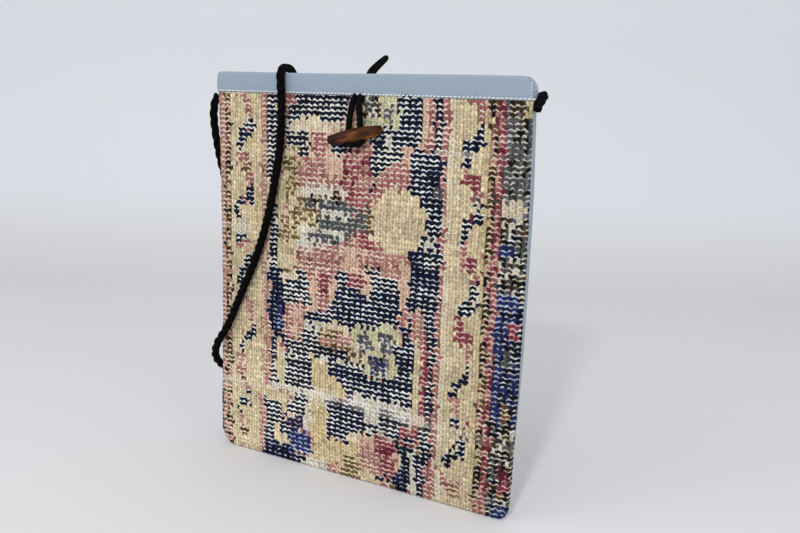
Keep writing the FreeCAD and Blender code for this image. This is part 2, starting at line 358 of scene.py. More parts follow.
# rug pattern, in millimetres across and up the bag: where shapes overlap, the later one shows
yarns = {
    # yarn colour, colour of the bare warp between the knots, how worn it is, how much it varies
    "beige": ((208, 193, 160), (228, 215, 186), 0.16, 0.15),
    "straw": ((200, 184, 142), (222, 209, 176), 0.16, 0.15),
    "cream": ((212, 197, 168), (232, 224, 208), 0.34, 0.10),
    "pale": ((196, 190, 174), (232, 229, 220), 0.42, 0.16),
    "pink": ((152, 98, 95), (236, 212, 200), 0.42, 0.18),
    "rose": ((166, 122, 112), (228, 206, 188), 0.40, 0.18),
    "peach": ((204, 172, 150), (232, 210, 190), 0.32, 0.12),
    "crimson": ((124, 58, 70), (222, 180, 172), 0.36, 0.20),
    "wine": ((98, 36, 50), (184, 118, 120), 0.20, 0.18),
    "navy": ((13, 19, 44), (232, 235, 234), 0.34, 0.40),
    "navyDeep": ((11, 17, 46), (196, 204, 212), 0.18, 0.40),
    "navyWorn": ((18, 21, 40), (234, 233, 226), 0.43, 0.40),
    "teal": ((12, 28, 38), (160, 178, 178), 0.22, 0.3),
    "indigo": ((34, 42, 92), (180, 190, 210), 0.30, 0.25),
    "purple": ((34, 27, 54), (190, 182, 190), 0.34, 0.22),
    "brown": ((62, 48, 36), (222, 204, 172), 0.44, 0.25),
    "umber": ((92, 74, 48), (222, 204, 168), 0.46, 0.22),
    "olive": ((112, 94, 64), (216, 202, 166), 0.44, 0.20),
    "slate": ((74, 77, 78), (180, 181, 175), 0.28, 0.25),
    "smoke": ((78, 80, 80), (204, 204, 198), 0.50, 0.25),
    "lavender": ((96, 90, 102), (208, 202, 196), 0.34, 0.22),
    "lime": ((192, 188, 152), (224, 220, 192), 0.30, 0.12),
    "gold": ((194, 176, 134), (226, 212, 180), 0.28, 0.14),
    "black": ((16, 14, 14), (206, 198, 184), 0.30, 0.3),
}

# yarns that alternate from knot to knot
mixed = {
    "pepper": ("pale", "black", "slate", "brown", "black", "navyWorn", "slate"),
    "ink": ("indigo", "navyDeep", "navyDeep", "black", "indigo", "navy", "navyDeep"),
    "grain": ("slate", "pale", "slate", "lavender", "brown", "slate", "black"),
    "ash": ("smoke", "smoke", "black", "lavender", "smoke", "slate", "black"),
    "petal": ("slate", "lavender", "slate", "lavender", "pale"),
    "bloom": ("indigo", "lavender", "slate", "lavender", "purple"),
    "bark": ("brown", "umber", "brown", "black", "rose"),
    "moss": ("olive", "beige", "umber", "olive", "beige"),
    "berry": ("crimson", "pink", "wine", "crimson", "rose"),
    "blush": ("pink", "pink", "rose", "pink", "rose", "peach"),
}

ground = [
    ("beige", (-140, 140, -10, 300)),
    # left border
    ("pepper", (-140, -122.6, -10, 124)), ("ash", (-140, -122.6, -10, 56)), ("rose", (-140, -118.8, 124, 300),
     (-123.5, -118.8, -10, 124)), ("bark", (-119.6, -113.8, -10, 300)), ("straw", (-98, -90, 246, 283),
     (-92, -84, 190, 214)), ("rose", (-83.8, -78.8, 150, 300), (-81.3, -73.8, 60, 150),
     (-86.3, -81.3, 0, 48)), ("navyWorn", (-78.8, -68.8, 222, 300), (-76.3, -66.3, 155, 222)),
    ("navyDeep", (-76.3, -63.8, 112, 155)), ("navyWorn", (-73.8, -68.8, 62, 112)),
    # right border
    ("peach", (48.7, 56.2, 253, 300)), ("pink", (56.2, 61.2, 253, 300)), ("navyWorn", (61.2, 66.2, -10, 300)),
    ("pink", (66.2, 71.2, -10, 300)), ("cream", (71.2, 76.2, -10, 300)), ("straw", (98.7, 101.2, -10, 300)),
    ("bark", (101.2, 106.2, -10, 300)), ("berry", (106.2, 111.2, -10, 300)), ("ash", (111.2, 140, 196, 300)),
    ("pepper", (111.2, 140, -10, 212)), ("ink", (111.2, 140, 68, 152)),
    # the field between them
    ("blush", (-66.3, 61.2, -10, 253), (-66.3, 48.7, 253, 300)),
]

vine = [
    # left border, from the top down
    ("pink", (-110, -99, 281, 287), (-99, -94, 269, 281)), ("navy", (-97, -92, 261, 269),
     [-106, 255, -99, 262, -91, 264, -91, 256, -98, 250, -107, 249]), ("pink", (-101, -96, 254, 259)),
    ("navy", (-107, -102, 242, 251)), ("pink", (-108, -98, 231, 241)), ("umber", (-102, -92, 226, 231)),
    ("pink", (-98, -91, 215, 226)), ("navy", (-98, -91, 208, 216),
     [-110, 203, -101, 209, -90, 207, -92, 202, -101, 199, -110, 198]), ("crimson", (-104, -99, 201, 206)),
    ("navy", (-110, -104, 190, 200)), ("pale", (-110, -96, 178, 187)), ("navy", (-108, -99, 173, 178)),
    ("pink", (-107, -95, 168, 173)), ("peach", (-100, -94, 161, 168)), ("navy", (-100, -91, 156, 163),
     [-109, 146, -98, 156, -93, 156, -100, 146, -104, 133, -109, 135]), ("rose", (-102, -92, 119, 127)),
    ("pink", (-96, -91, 108, 119)), ("navy", (-96, -90, 103, 108),
     [-103, 92, -97, 101, -89, 103, -89, 98, -97, 91, -103, 89], (-105, -100, 81, 89)),
    ("rose", (-106, -100, 70, 81)), ("pink", (-108, -99, 61, 70)), ("brown", (-103, -92, 58, 62)),
    ("rose", (-100, -95, 53, 58)), ("navy", (-99, -94, 45, 53),
     [-108, 43, -95, 48, -94, 42, -101, 37, -108, 33], (-108, -104, 31, 37)), ("rose", (-108, -103, 22, 31)),
    ("brown", (-106, -97, 12, 19)),
    # right border
    ("pink", (84, 97, 281, 288), (91, 97, 270, 283)), ("navy", (91, 97, 262, 270),
     [82, 255, 89, 263, 97, 265, 97, 257, 90, 251, 82, 249], (82, 89, 243, 250)),
    ("pink", (83, 89, 231, 243)), ("crimson", (84, 96, 230, 236),
     (90, 98, 219, 231)), ("navy", (92, 98, 210, 218),
     [84, 203, 90, 211, 97, 211, 97, 206, 90, 199, 84, 198]), ("wine", (88, 93, 203, 208)),
    ("navy", (84, 89, 192, 200)), ("pink", (83, 88, 178, 191)), ("rose", (84, 91, 172, 181)),
    ("crimson", (88, 97, 170, 181)), ("pink", (92, 98, 164, 172)),
    ("navy", (91, 97, 150, 164), [84, 143, 88, 151, 97, 154, 97, 148, 90, 141, 84, 139]),
    ("crimson", (83, 88, 128, 139), (84, 97, 122, 130)), ("pink", (90, 95, 110, 121)),
    ("navyWorn", (91, 95, 100, 109)), ("navy", [81, 91, 87, 98, 94, 101, 94, 94, 88, 89, 81, 87],
     (81, 86, 81, 88)), ("rose", (80, 88, 70, 81)), ("crimson", (79, 95, 63, 66)), ("navy", (82, 89, 61, 66)),
    ("pink", (83, 94, 57, 61)), ("navy", (89, 94, 46, 53), [79, 38, 86, 46, 93, 46, 93, 41, 86, 36, 79, 35],
     (77, 83, 28, 40)), ("pink", (76, 82, 12, 25)), ("rose", (81, 92, 8, 21)), ("umber", (82, 88, 11, 16)),
]

upperField = [
    ("navyWorn", (-62, -8, 270, 290)), ("pink", (-66, -53, 277, 290)), ("rose", (-66, -61, 266, 277)),
    ("cream", (-64, -14, 258, 270)), ("navy", (-30, -11, 266, 270)), ("navyWorn", (-62, -49, 265, 271),
     (-62, -41, 239, 259)), ("peach", (-41, -9, 239, 259)), ("pink", (-37, -26, 239, 259)),
    ("navy", (-20, -5, 241, 252)), ("moss", (-66, -49, 239, 248), (-64, -51, 202, 242)),
    ("beige", (-70, -64, 178, 226)), ("blush", (-49, -4, 219, 239)), ("peach", (-26, -11, 228, 243)),
    ("berry", [-14, 222, -12, 243, -4, 250, 8, 250, 12, 240, 12, 205, -6, 203]),
    ("pale", (-49, -8, 210, 220)), ("brown", (-20, -14, 209, 218)), ("moss", (-60, -30, 203, 212)),
    ("grain", (-48, -14, 181, 211)), ("slate", (-30, 13, 183, 209)), ("moss", (-62, -32, 186, 204)),
    ("pale", (-30, -8, 198, 204)), ("moss", (-68, -50, 150, 192)), ("beige", (-68, -50, 158, 176)),
    ("pale", (-50, -8, 171, 189)), ("slate", (-42, -12, 179, 184), (-36, -8, 170, 175)),
    ("blush", [-48, 170, -8, 180, 2, 190, 16, 181, 40, 180, 48, 168, 50, 140, -48, 140]),
    ("peach", (-10, 3, 160, 178)), ("navy", (-17, -6, 150, 159)), ("navyWorn", (-50, -40, 150, 155)),
    ("crimson", [2, 190, 8, 191, 16, 184, 15, 178, 4, 178]), ("rose", (20, 31, 160, 172)),
    # the leaf at the top, and the dark ground right of it
    ("lime", (3, 37, 262, 290)), ("grain", (19, 31, 268, 280)),
    ("navy", (31, 51, 251, 290)), ("lime", [30, 290, 31, 277, 37, 275, 34, 266, 24, 262, 3, 264, 3, 290]),
    ("grain", (5, 18, 268, 290)), ("lavender", (22, 29, 270, 279)), ("navy", (20, 51, 251, 264),
     (12, 30, 230, 258)), ("navyWorn", (12, 38, 238, 251)), ("pale", (23, 29, 251, 257)),
    ("navyWorn", [12, 222, 12, 244, 38, 251, 38, 241, 30, 233, 20, 226]),
    ("navy", [6, 222, 7, 231, 19, 231, 17, 226, 10, 221]), ("peach", (39, 44, 228, 251),
     [39, 251, 44, 251, 44, 246, 52, 253, 52, 258, 48, 253]),
    ("pink", [0, 203, 0, 225, 10, 220, 22, 228, 38, 241, 44, 238, 43, 222, 34, 219, 20, 212]),
    ("rose", [0, 225, 8, 221, 22, 228, 40, 242, 40, 246, 30, 240, 14, 229, 5, 232]),
    ("navy", (43.7, 68, 219, 249)), ("navyDeep", (58, 66, 225, 238)),
    ("navy", [34, 218, 40, 223, 68, 227, 68, 212, 44, 216], (50, 68, 186, 222), (46, 68, 178, 190),
     [36, 175, 44, 180, 70, 184, 70, 160, 44, 172]), ("navyDeep", (45, 68, 150, 176)),
    ("navyWorn", (56, 66, 168, 178)), ("pale", (58, 66, 184, 190)), ("beige", (35, 199.6, 22.5)),
    ("cream", (13, 18, 186, 190)), ("rose", (13, 45, 172, 178)), ("umber", (11, 14, 190, 204)),
    ("navyWorn", (9, 21, 160, 165), (15, 36, 150, 160)), ("peach", (38, 44, 140, 172)),
]

lowerField = [
    ("navyWorn", (-75, -39, 130, 150)), ("navyDeep", (-75, -64, 124, 156)), ("navy", (-49, -39, 146, 151)),
    ("cream", (-66, -49, 147, 153)), ("peach", (-38, -14, 127, 155)), ("pink", (-32, -20, 128, 155)),
    ("crimson", (-30, -21, 138, 155)), ("peach", (-20, -15, 130, 155)), ("navy", (-15, 16, 118, 156)),
    ("crimson", (-6, 3, 150, 160), [-2, 156, 8, 156, 9, 149, 4, 146]),
    ("peach", [9, 160, 15, 160, 15, 141, 9, 143, 4, 147, 9, 150]),
    ("navy", [-43, 126, -24, 127, -18, 136, 16, 140, 16, 118, -42, 116]), ("navyDeep", (-2, 14, 136, 144)),
    ("navy", (15, 39, 116, 155)), ("peach", [39, 156, 46, 156, 50, 140, 59, 137, 59, 120, 39, 114, 49, 132]),
    ("pink", [39, 150, 44, 140, 50, 132, 59, 130, 58, 122, 44, 116, 46, 128]), ("navy", (45, 68, 139, 156),
     (59, 68, 120, 140), [37, 117, 47, 132, 48, 121, 43, 114]), ("navyDeep", (-73, -62, 98, 132)),
    ("indigo", (-69, -63, 108, 128)), ("pink", (-62, -54, 99, 130)), ("peach", (-54, -48, 99, 128)),
    ("rose", (-48, -44, 101, 126)), ("pale", (-44, -26, 110, 117)), ("navyWorn", (-44, -30, 99, 112)),
    ("navy", (-44, -20, 117, 123)), ("cream", (-31, 3, 110, 118)), ("rose", (-30, 2, 100, 113)),
    ("umber", (-28, -8, 108, 112), (-24, -2, 100, 103)), ("navyWorn", (-62, 0, 91, 100)),
    ("pale", (-36, 0, 88, 92)),
    # the small flower with its light outline
    ("lime", [0, 119, 20, 121, 35, 126, 40, 110, 38, 86, 14, 83, 10, 92, 0, 92]), ("petal", (3, 16, 102, 115),
     (20, 34, 103, 119)), ("bloom", (15, 30, 87, 102)), ("indigo", (19, 25, 90, 96)),
    ("lime", (16, 20, 100, 120)), ("cream", (-3, 11, 90, 101)), ("umber", (-2, 10, 95, 98)),
    ("navy", [37, 108, 46, 117, 53, 117, 51, 68, 0, 68, 0, 84, 30, 84, 38, 90], (0, 10, 82, 91),
     (33, 42, 106, 112)), ("straw", (-66.5, -62.5, 62, 92)), ("lime", (-65, -61.5, 62, 88)),
    ("navyWorn", (-61, -36, 63, 88)), ("pale", (-60, -36, 88, 91)),
    ("gold", [-36, 90, -24, 90, -20, 78, -6, 72, -6, 64, -20, 52, -20, 30, -8, 27, 10, 25, 6, 10, -10, 8,
              -28, 14, -36, 28]),
    ("navy", [-24, 90, 2, 90, 2, 62, -6, 66, -6, 74, -20, 79, -20, 86]), ("cream", (-36, -22, 52, 66)),
    ("navy", (-21, 2, 42, 62), (-21, 2, 28, 48)), ("pale", (-74, -36, 58, 63), (-56, -36, 28, 60)),
    ("navyWorn", (-50, -40, 50, 60), (-58, -41, 41, 50), (-80, -62, 28, 49)), ("purple", (-60, -44, 29, 39)),
    ("beige", (-64, -58, 40, 60)), ("rose", (-86, -80, 0, 49)), ("beige", (-80, -70, 49, 60)),
    ("navyWorn", (-80, -70, 8, 30)), ("beige", (-70, -50, 10, 28)), ("navyWorn", (-66, -54, 23, 29)),
    ("indigo", (-56, -38, 10, 26), (-44, -26, 10, 19)), ("navyDeep", (-83, -58, -10, 14), (-60, -44, -10, 9)),
    ("pale", (-44, -22, -10, 8)), ("olive", (-8, 10, -10, 12)), ("umber", (-6, 8, 8, 18)),
    ("gold", (-34, -10, 8, 26)),
    # lower right: worn rows, the pink flower and the dark stem
    ("pale", (0, 50, 40, 68)), ("navyWorn", (26, 48, 50, 62), (10, 46, 42, 50)),
    ("navy", (0, 12, 34, 60)), ("pale", (15, 26, 50, 60)), ("navyWorn", (10, 18, 36, 41)),
    ("blush", (8, 42, 8, 39)), ("rose", (8, 22, 8, 30)), ("crimson", (21, 39, 27, 38)),
    ("wine", (28, 38, 26, 34)), ("gold", (0, 8, 20, 29)), ("cream", (-2, 9, 29, 37)),
    ("peach", (8, 20, 30, 39), (38, 43, 14, 32)), ("crimson", (26, 40, 10, 24)), ("beige", (8, 26, -10, 9)),
    ("navyDeep", (24, 38, 4, 9)), ("olive", (34, 40, -10, 4)), ("teal", (39, 51, 28, 44)),
    ("navyDeep", (44, 51, 6, 32), (38, 50, -10, 16)), ("pale", (51, 56, -10, 42)),
    ("crimson", (42, 56, 36, 52)), ("navy", (44, 52, 38, 45)), ("rose", (55, 61, -10, 52)),
    ("navyWorn", (57, 64, 30, 54)), ("navy", (55, 62, -10, 34)), ("pink", (62, 68, -10, 28)),
    # the stripes beside the right border
    ("beige", (51, 57, 62, 122)), ("crimson", (57, 62, 60, 124)), ("navyWorn", (62, 67, 62, 122)),
    ("pink", (56, 60, 108, 124)), ("rose", (50, 59, 118, 138)),
]

edgePatches = [
    ("indigo", (112, 120, 183, 193), (111, 126, 150, 158)), ("ink", (111.2, 119, 72, 146)),
    ("indigo", (111.2, 117, 118, 142), (111.2, 117, 72, 112)), ("crimson", (120, 128, 130, 140)),
    ("umber", (119, 126, 70, 84)), ("slate", (118, 124, 112, 122)), ("indigo", (117, 129, -10, 8)),
    ("straw", (125, 132, 276, 290)), ("brown", (115, 124, 274, 290)), ("lavender", (111.2, 116, 250, 272)),
    ("cream", (111.2, 126, 212, 222)), ("slate", (114, 124, 246, 256)), ("crimson", (120, 128, 20, 34)),
    ("wine", (118, 126, 30, 38)),
]

# bands where the pile has worn pale: (from x, z there, to x, z there, width, strength)
fading = [
    (-130, 56, -20, 61, 6, 0.8), (-20, 62, 60, 59, 7, 0.95), (60, 58, 130, 54, 5, 0.3),
    (60, 250, 130, 248, 3, 0.35), (60, 222, 130, 222, 3, 0.35), (-128, 183, -88, 182, 4, 0.35),
]

# "across" and "up" count the mesh points to a knot
knot = {
    "width": 5.0, "height": 3.7, "across": 6, "up": 4, "shift": 1.2, "pile": 0.75, "arch": 0.5, "seed": 7,
    "straysAcross": 1.1, "straysUp": 1.3, "fadedTo": (222, 214, 200),
}


def covers(shape, x, z):
    # which points lie in a box (x, x, z, z), a disc (x, z, radius) or a polygon [x, z, x, z...]
    if isinstance(shape, list):
        inside = np.zeros(x.shape, bool)
        corners = list(zip(shape[::2], shape[1::2]))
        for (xa, za), (xb, zb) in zip(corners, corners[1:] + corners[:1]):
            if za != zb:
                crosses = (za > z) != (zb > z)
                inside ^= crosses & (x < (xb - xa) * (z - za) / (zb - za) + xa)
        return inside
    if len(shape) == 3:
        return np.hypot(x - shape[0], z - shape[1]) < shape[2]
    return (x > shape[0]) & (x < shape[1]) & (z > shape[2]) & (z < shape[3])


def paintKnots(x, z):
    # the yarn and warp colours, and the wear, of each half knot centred at x, z
    dice = np.random.default_rng(knot["seed"])
    names = list(yarns)
    chosen = np.zeros(x.shape, int)
    ragged = x + dice.normal(0, knot["straysAcross"], x.shape), z + dice.normal(0, knot["straysUp"], z.shape)
    for name, *shapes in ground + upperField + lowerField + edgePatches + vine:
        options = [names.index(n) for n in mixed.get(name, (name,))]
        for shape in shapes:
            picks = np.array(options)[dice.integers(0, len(options), x.shape)]
            chosen = np.where(covers(shape, *ragged), picks, chosen)
    yarn = np.array([linear(yarns[n][0]) for n in names])[chosen]
    warp = np.array([linear(yarns[n][1]) for n in names])[chosen]
    wear = np.array([yarns[n][2] for n in names])[chosen]
    vary = np.array([yarns[n][3] for n in names])[chosen]
    yarn = yarn * (1 + vary * dice.normal(0, 1, x.shape))[..., None].clip(0.4, 1.9)
    warp = warp * (1 + 0.06 * dice.normal(0, 1, x.shape))[..., None]
    wear = wear + 0.09 * dice.normal(0, 1, x.shape) + 0.07 * dice.normal(0, 1, (x.shape[0], 1))
    wear = wear + 0.07 * np.sin(x / 13 + 2 * np.sin(z / 17)) * np.sin(z / 11 + 1.7 * np.sin(x / 29))
    abrash = 1 + 0.05 * np.sin(z / 9.0 + 1.3 * np.sin(x / 31.0)) + 0.04 * np.sin(z / 4.1 + x / 57.0)
    # painted light makes the knots paler low on the left, and painted shade makes them a little darker at the
    # right
    lightAndShadeTilt = 1 + 0.18 * smooth(150, 10, z) * smooth(60, -60, x) - 0.07 * smooth(20, 110, x)
    yarn, warp = yarn * (abrash * lightAndShadeTilt)[..., None], warp * lightAndShadeTilt[..., None]
    pale = np.array(linear(knot["fadedTo"]))
    for xa, za, xb, zb, width, strength in fading:
        middle = za + (zb - za) * (x - xa) / (xb - xa)
        share = strength * np.exp(-((z - middle) / (width / 2)) ** 2) * ((x > xa) & (x <= xb))
        share = share * (0.45 + 0.8 * dice.random(x.shape))
        share = share * (0.75 + 0.45 * np.sin(x / 9 + 2 * np.sin(x / 23)))
        yarn = yarn + (pale - yarn) * share.clip(0, 1)[..., None]
        wear = wear + 0.32 * share
    return yarn.clip(0.003, 1), warp.clip(0.01, 1), wear.clip(0.03, 0.85)


# the bag's outline and its cloths, in millimetres
bag = {
    "halfWidth": 126.5, "height": 298.8, "lowest": 0.05,
    "leftPull": 2.6, "leftPullAt": 0.44, "rightBulge": 2.8, "rightBulgeAt": 0.58,
    "leftCorner": 15.0, "rightCorner": 9.0, "edgeTurn": 1.5,
    "front": -6.6, "back": 7.3, "seam": -1.9, "rightSeam": -4.2, "thinner": 3.0,
    # the ripples die out between these heights, under the band
    "flattens": (262, 288),
}
# the square of cloth that the flat textures cover
bakeSide = 440


def sideEdges(z):
    # where the left and right sides are at a height
    t = np.clip(z / bag["height"], -0.2, 1.1)

    def bow(at):
        return 1 - ((t - at) / np.where(t < at, at, 1 - at)) ** 2

    return (-bag["halfWidth"] + bag["leftPull"] * bow(bag["leftPullAt"]),
            bag["halfWidth"] + bag["rightBulge"] * bow(bag["rightBulgeAt"]))


def insideBy(x, z, grow=0.0):
    # how far inside the bag's sides and base a point lies
    left, right = sideEdges(z)
    a, b = x - left + grow, right + grow - x
    inside = np.minimum(np.minimum(a, b), z)
    for side, corner in ((a, bag["leftCorner"]), (b, bag["rightCorner"])):
        near = (side < corner) & (z < corner)
        inside = np.where(near, corner - np.hypot(corner - side, corner - z), inside)
    return inside


def frontDepth(x, z):
    # the front pulls back a little towards the side and bottom seams, and is never quite flat
    inside = np.maximum(insideBy(x, z), 0)
    pulled = (0.5 + 1.3 * (1 - smooth(4, 40, z))) * (1 - smooth(0, 22, inside))
    ripple = 0.28 * np.sin(x / 38 + 0.8) * np.sin(z / 47) + 0.16 * np.sin(x / 17 - z / 29)
    return bag["front"] + pulled + ripple * smooth(0, 30, inside) * (1 - smooth(*bag["flattens"], z))


def thinSide(x):
    # the back lies closer to the front at the right side
    return bag["thinner"] * smooth(55, 127, x)


def backDepth(x, z):
    # the back is fullest at the mouth, and meets the front closely at the base
    inside = np.maximum(insideBy(x, z), 0)
    low = 1 - smooth(-20, 190, z)
    pulled = (0.4 + 3.4 * low) * (1 - smooth(0, 34, inside)) + 1.8 * low
    ripple = 0.6 * np.sin(x / 33 + 0.3) * np.sin(z / 52 + 0.5) + 0.35 * np.sin(x / 15 + z / 24)
    ripple = ripple + 0.3 * np.sin(z / 9 + 2 * np.sin(x / 40)) * (1 - smooth(0, 60, inside))
    ripple = ripple * smooth(0, 34, inside) * (1 - smooth(*bag["flattens"], z))
    return bag["back"] - pulled - thinSide(x) - 0.35 - ripple


def seamDepth(x, z):
    # the seam runs nearer the front towards the top of the right side
    return bag["seam"] + (bag["rightSeam"] - bag["seam"]) * smooth(60, 118, x) * smooth(10, 170, z)


def wrapEdges(x, z, depth, seam, towards, grow=0.0):
    # lays a flat cloth on the bag and turns it round the sides and base as far as the seam
    inside = insideBy(x, z, grow)
    radius, step = bag["edgeTurn"], 0.05
    outX = insideBy(x - step, z, grow) - insideBy(x + step, z, grow)
    outZ = insideBy(x, z - step, grow) - insideBy(x, z + step, grow)
    size = np.hypot(outX, outZ) + 1e-9
    outX, outZ = outX / size, outZ / size
    past = radius - inside
    angle = np.clip(past / radius, 0, math.pi / 2)
    straight = np.maximum(past - radius * math.pi / 2, 0)
    settled = np.where(past > 0, radius * (1 - np.sin(angle)), inside)
    px = x - outX * (settled - inside)
    pz = z - outZ * (settled - inside)
    y = depth(px, pz) + towards * (radius * (1 - np.cos(angle)) + straight)
    stopped = y >= seam if towards > 0 else y <= seam
    y = np.where(stopped, seam, y)
    points = np.stack([px, y, pz], axis=-1)
    normals = np.stack([outX * np.sin(angle), -towards * np.cos(angle), outZ * np.sin(angle)], axis=-1)
    return points, normals, stopped


def clothMesh(name, points, faces, material, uv):
    # a mesh of some faces of a grid, in metres and clear of the floor, with the unused points left out
    points[..., 2] = np.maximum(points[..., 2], bag["lowest"])
    used, inverse = np.unique(faces, return_inverse=True)
    faces = inverse.reshape(faces.shape)
    piece = addMesh(name, points.reshape(-1, 3)[used] * mm, faces.tolist(), material)
    layer = piece.data.uv_layers.new(name="OFBake")
    layer.data.foreach_set("uv", uv.reshape(-1, 2)[used][faces].astype(float).ravel())
    return piece, used


def rugMaterial():
    shader = Shader("knottedRug")
    place = shader.place()
    yarn = shader.attribute("yarn", "Color")
    wear = shader.attribute("yarn", "Alpha")
    warp = shader.attribute("warp", "Color")
    cell = shader.attribute("knot")
    across, up = shader.part(cell, 0), shader.part(cell, 1)
    patchy = shader.noise(place, 430, 3, 0.6)
    fibre = shader.noise(shader.stretch(place, (1, 1, 0.45)), 2300, 3, 0.7)
    waver = shader.noise(place, 230, 2, 0.5)
    middle = (across + patchy * 0.30 - 0.65).wave() * 0.5 + 0.5
    gap = (up + (fibre - 0.5) * 0.20 + (waver - 0.5) * 0.55).wave() * 0.5 + 0.5
    parted = gap * (middle * 0.30 + 0.70) + (patchy - 0.5) * 1.5
    bare = (parted + wear * 0.90 - 1.06).step(-0.12, 0.12)
    loops = (across * 2.0).wave() * -0.5 + 0.5
    strands = shader.mix(fibre.step(0.25, 0.8), (0.34, 0.33, 0.33), (1.62, 1.60, 1.55))
    shade = shader.mix(1.0, yarn, strands, "MULTIPLY")
    # painted shade: the knots are darker in the grooves between their loops and in the gaps between rows
    grooveShade = shader.mix((loops * 0.6 + 0.4) * (1.15 - gap * 0.6), (0.44, 0.41, 0.37), (1.18, 1.18, 1.18))
    shade = shader.mix(1.0, shade, grooveShade, "MULTIPLY")
    thread = shader.mix(fibre.step(0.2, 0.9), (0.62, 0.62, 0.61), (1.26, 1.26, 1.24))
    colour = shader.mix(bare, shade, shader.mix(1.0, warp, thread, "MULTIPLY"))
    height = fibre * 0.75 + loops * 0.35 - gap * 0.3 + bare * 0.25
    normal = shader.bump(height, 0.55 * mm, 0.8)
    return shader.finish(Base_Color=colour, Roughness=0.92, Normal=normal, Specular_IOR_Level=0.12)


def makeRug():
    across, up = knot["across"], knot["up"]
    columns = np.arange(-27 * across + 3, 26 * across + 3)
    rows = np.arange(-up - 2, 78 * up - 1)
    u, v = np.meshgrid(columns / across, rows / up)
    x = knot["shift"] + u * knot["width"]
    arch = knot["arch"] * np.cos(2 * math.pi * (u - 0.5))
    drift = 0.5 * np.sin(x / 23 + v / 5) + 0.35 * np.sin(v / 3.1 + x / 60)
    z = v * knot["height"] + arch + drift * 0.6
    x = x + 0.35 * np.sin(v / 2.3 + x / 41)
    points, normals, stopped = wrapEdges(x, z, frontDepth, seamDepth(x, z), 1)
    dice = np.random.default_rng(knot["seed"] + 1)
    # each half knot stands a little higher or lower than the next
    knots = dice.normal(0, 0.10, (200, 200))
    tall = knots[(np.floor(v) + 20).astype(int), (np.floor(u * 2) + 80).astype(int)]
    row = np.abs(np.sin(math.pi * v)) ** 0.7
    loops = np.abs(np.sin(2 * math.pi * u))
    nub = 0.30 * (1 - row) * (0.5 - 0.5 * np.cos(2 * math.pi * u))
    pile = knot["pile"] * (row * (0.62 + 0.38 * loops) + nub) + tall + dice.normal(0, 0.035, u.shape)
    points = points + normals * np.where(stopped, 0.0, pile)[..., None]
    points[..., 1] = np.minimum(points[..., 1], seamDepth(x, z))
    faces = gridFaces(*x.shape)
    faces = faces[~stopped.reshape(-1)[faces].all(axis=1)]
    uv = np.stack([(x + 140) / bakeSide, (z + 12) / bakeSide], axis=-1)
    piece, used = clothMesh("rugFront", points, faces, rugMaterial(), uv)
    pointVectors(piece, "knot", np.stack([u, v, u * 0], axis=-1).reshape(-1, 3)[used])
    halfAcross = np.floor(u.reshape(-1)[faces].mean(axis=1) * 2).astype(int)
    rowUp = np.floor(v.reshape(-1)[faces].mean(axis=1)).astype(int)
    firstColumn, firstRow = halfAcross.min(), rowUp.min()
    centresX = (np.arange(firstColumn, halfAcross.max() + 1) + 0.5) * knot["width"] / 2 + knot["shift"]
    centresZ = (np.arange(firstRow, rowUp.max() + 1) + 0.5) * knot["height"]
    yarn, warp, wear = paintKnots(*np.meshgrid(centresX, centresZ))
    at = (rowUp - firstRow, halfAcross - firstColumn)
    for name, colour, alpha in (("yarn", yarn, wear), ("warp", warp, wear)):
        values = np.concatenate([colour[at], alpha[at][:, None]], axis=1)
        layer = piece.data.color_attributes.new(name, "FLOAT_COLOR", "CORNER")
        layer.data.foreach_set("color", np.repeat(values, 4, axis=0).astype(np.float32).ravel())
    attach(piece, "bag")
    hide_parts("front_panel")
    print("rug", len(piece.data.polygons), "faces")


twill = {"base": (136, 152, 168), "light": (178, 191, 203), "dark": (84, 98, 116), "wale": 1.0}


def twillMaterial(name, tone=1.0, grey=0.0):
    shader = Shader(name)
    place = shader.place()
    x, y, z = (shader.part(place, i) for i in range(3))
    wobble = shader.noise(place, 260, 2)
    diagonals = 1000 / twill["wale"] * 0.7071
    slant = (x + z + y * 0.6) * diagonals + wobble * 0.5
    steps = (z - x) * diagonals + wobble * 0.3
    ribs = slant.wave() * 0.5 + 0.5
    picks = (steps + slant * 0.5).wave() * 0.5 + 0.5
    cloud = shader.noise(place, 22, 3)
    fleck = shader.noise(place, 1700, 2)

    def toned(key):
        colour = linear(twill[key])
        middle = sum(colour) / 3
        # a tone above 1 paints the colours lighter, as painted light
        return [tone * (c + (middle - c) * grey) for c in colour]

    lit = (ribs * 0.65 + picks * 0.2 + fleck * 0.35).step(0.25, 0.95)
    weave = shader.mix(lit, toned("dark"), toned("light"))
    colour = shader.mix(cloud * 0.35, weave, toned("base"))
    height = ribs * 0.7 + picks * 0.25 + fleck * 0.2
    return shader.finish(Base_Color=colour, Roughness=0.85, Normal=shader.bump(height, 0.18 * mm, 0.6),
                         Sheen_Weight=0.05, Specular_IOR_Level=0.25)


blueTwill = twillMaterial("blueTwill")
# the band's twill painted lighter and greyer for the back, sides and base: painted light on the same cloth
paintedLightTwill = twillMaterial("paintedLightTwill", 1.1, 0.2)
clothThickness = {"twill": 1.0, "lining": 0.5}


def thicken(piece, thickness):
    solid = piece.modifiers.new("thickness", "SOLIDIFY")
    solid.thickness = thickness * mm
    solid.offset = -1


